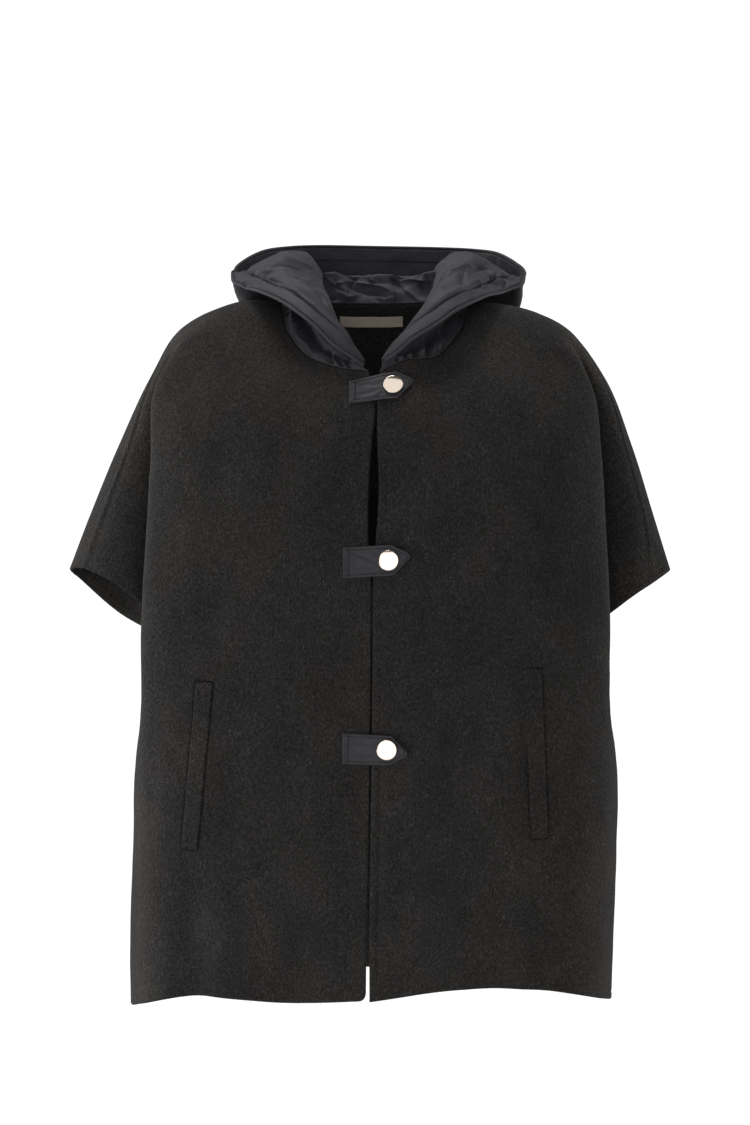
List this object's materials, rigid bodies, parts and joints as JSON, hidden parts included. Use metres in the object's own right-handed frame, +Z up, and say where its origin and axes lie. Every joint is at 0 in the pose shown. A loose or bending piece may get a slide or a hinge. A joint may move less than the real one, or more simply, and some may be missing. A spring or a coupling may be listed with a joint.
{
  "type": "hooded poncho",
  "caption": "Boxy hip-length wool poncho with short sleeves cut in one, a folded-down nylon hood, snapped front tabs and slanted welt pockets.",
  "frame": {"origin": "the middle of the neck opening at shoulder height, where a hanger or shoulders hold the garment up", "axes": "+Z up from hem to hood, -Y out of the front, the wearer's right side at -X"},
  "size_m": [0.6506, 0.3026, 0.8385],
  "materials": {
    "wool": "brushed double-faced wool, near black, matt with a soft nap",
    "nylon": "crisp papery nylon, dark slate grey, low sheen",
    "pale_gold": "polished pale gold",
    "stud_metal": "satin pale gold",
    "tape": "woven tape, beige, bare"
  },
  "bodies": {
    "root": {"front_right": "wool", "front_left": "wool", "back": "wool", "hood_right": "nylon", "hood_left": "nylon", "hood_centre": "nylon", "hood_band": "nylon", "pocket_welt_right": "wool", "pocket_welt_left": "wool", "tab_top": "nylon", "snap_cap_top": "pale_gold", "snap_stud_top": "stud_metal", "tab_middle": "nylon", "snap_cap_middle": "pale_gold", "snap_stud_middle": "stud_metal", "tab_bottom": "nylon", "snap_cap_bottom": "pale_gold", "snap_stud_bottom": "stud_metal", "label": "tape"}
  },
  "joints": []
}
